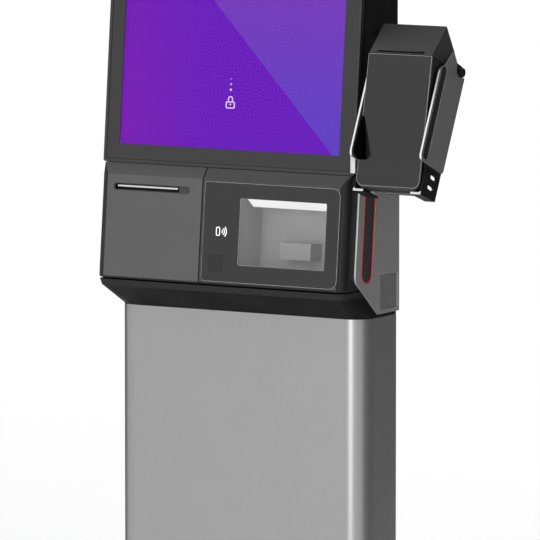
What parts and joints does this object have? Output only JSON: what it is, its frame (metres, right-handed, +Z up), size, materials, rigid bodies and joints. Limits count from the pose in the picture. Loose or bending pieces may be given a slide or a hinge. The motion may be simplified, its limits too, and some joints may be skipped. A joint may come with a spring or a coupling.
{
  "type": "self checkout kiosk",
  "caption": "Free-standing self checkout kiosk: slim pedestal, receipt printer and code scanner module, upright touch display and a tilting side cradle with a card terminal.",
  "frame": {"origin": "middle of the base mat's underside, on the floor", "axes": "+Z up, -Y towards the customer, +X towards the side that carries the card terminal"},
  "size_m": [0.4612, 0.37, 1.538],
  "materials": {
    "mat_rubber": "matt non-slip rubber",
    "platen_rubber": "fine ground rubber",
    "dark_steel": "dark grey powder coat with a fine texture",
    "supply_case": "folded plain aluminium case",
    "silver_paint": "satin silver-grey paint with a fine metallic flake",
    "grey_paint": "satin mid-grey metallic paint",
    "black_plastic": "black moulding with a fine grain",
    "black_steel": "matt black powder coat",
    "graphite_plastic": "graphite moulding with a fine grain",
    "door_plastic": "satin mid-grey moulding",
    "dark_panel": "smooth dark panel with a soft gloss",
    "display_glass": "cover glass with a printed dark border",
    "clear_window": "clear scan window",
    "screen": "lit liquid-crystal panel",
    "red_trim": "thin red trim ring",
    "bright_steel": "bright zinc-plated steel",
    "arm_casting": "light-grey cast arm",
    "white_plastic": "light-grey diffusing chamber",
    "light_bar": "lit white diffuser",
    "paper": "white thermal paper, wound",
    "circuit_board": "green solder mask"
  },
  "bodies": {
    "kiosk": {"base_mat": "mat_rubber", "base_plate": "dark_steel", "base_socket": "dark_steel", "pedestal_shell": "silver_paint", "pedestal_top_plate": "dark_steel", "rear_hinge_rod": "bright_steel", "power_supply": "supply_case", "power_inlet": "black_plastic", "lower_housing": "black_plastic", "door_hinge_pin": "bright_steel", "printer_chassis": "bright_steel", "paper_spindle": "black_plastic", "print_head": "dark_steel", "paper_cutter": "bright_steel", "scanner_frame": "graphite_plastic", "scanner_panel": "dark_panel", "scan_window": "clear_window", "scan_chamber": "white_plastic", "scan_light_bar": "light_bar", "scan_engine": "dark_steel", "contactless_antenna": "circuit_board", "speaker": "black_plastic", "skirt": "black_plastic", "side_panel_right": "grey_paint", "side_panel_left": "grey_paint", "inlay_rim_right": "red_trim", "inlay_rim_left": "red_trim", "side_inlay_right": "black_plastic", "side_inlay_left": "black_plastic", "port_cover_right": "grey_paint", "port_cover_left": "grey_paint", "display_bezel": "graphite_plastic", "display_glass": "display_glass", "lcd_panel": "screen", "display_carrier": "black_plastic", "display_housing": "graphite_plastic", "display_rear_cover": "black_plastic", "main_board": "circuit_board", "mount_plate": "arm_casting", "mount_arm": "arm_casting", "tilt_bracket": "black_steel", "hinge_rod": "black_steel"},
    "rear_door": {"rear_door": "silver_paint", "rear_lock_collar": "bright_steel"},
    "rear_lock": {"rear_lock_core": "bright_steel"},
    "rocker": {"power_rocker": "black_plastic"},
    "printer_door": {"printer_door": "door_plastic", "receipt_slot_insert": "black_plastic"},
    "platen": {"platen_roller": "platen_rubber"},
    "paper_roll": {"paper_roll": "paper"},
    "cradle": {"cradle_frame": "black_steel", "cheek_left": "grey_paint", "cheek_right": "grey_paint", "cheek_inlay_left": "black_plastic", "cheek_inlay_right": "black_plastic", "retaining_jaw": "black_plastic"},
    "terminal": {"terminal_glass": "dark_panel", "terminal_body": "black_plastic"},
    "terminal_cover": {"terminal_printer_cover": "graphite_plastic"},
    "terminal_roll": {"terminal_paper_roll": "paper"}
  },
  "joints": [
    {"name": "rear_door_hinge", "type": "hinge", "parent": "kiosk", "child": "rear_door", "pos_m": [-0.134, 0.04, 0.475], "axis": [0, 0, 1], "range_deg": [0, 110]},
    {"name": "rear_lock_turn", "type": "hinge", "parent": "rear_door", "child": "rear_lock", "pos_m": [0.116, 0.036, 0.48], "axis": [0, -1, 0], "range_deg": [0, 90]},
    {"name": "power_rocker_tilt", "type": "hinge", "parent": "kiosk", "child": "rocker", "pos_m": [-0.047, 0.033, 0.0606], "axis": [-1, 0, 0], "range_deg": [0, 14]},
    {"name": "printer_door_hinge", "type": "hinge", "parent": "kiosk", "child": "printer_door", "pos_m": [-0.088, -0.073, 0.9075], "axis": [1, 0, 0], "range_deg": [0, 75]},
    {"name": "platen_spin", "type": "hinge", "parent": "printer_door", "child": "platen", "pos_m": [-0.0937, -0.057, 0.991], "axis": [1, 0, 0], "continuous": true},
    {"name": "paper_roll_spin", "type": "hinge", "parent": "kiosk", "child": "paper_roll", "pos_m": [-0.0937, -0.012, 0.952], "axis": [1, 0, 0], "continuous": true},
    {"name": "cradle_tilt", "type": "hinge", "parent": "kiosk", "child": "cradle", "pos_m": [0.2055, -0.00367, 1.13081], "axis": [-1, 0, 0], "range_deg": [0, 15]},
    {"name": "terminal_lift", "type": "slide", "parent": "cradle", "child": "terminal", "axis": [0, 0.4226, 0.9063], "range_m": [0, 0.16]},
    {"name": "terminal_cover_hinge", "type": "hinge", "parent": "terminal", "child": "terminal_cover", "pos_m": [0.2055, -0.00863, 1.15023], "axis": [-1, 0, 0], "range_deg": [0, 70]},
    {"name": "terminal_roll_spin", "type": "hinge", "parent": "terminal", "child": "terminal_roll", "pos_m": [0.2055, -0.02848, 1.14459], "axis": [1, 0, 0], "continuous": true}
  ],
  "couplings": [
    {"joint": "platen_spin", "follows": "paper_roll_spin", "ratio": -6.3333}
  ]
}
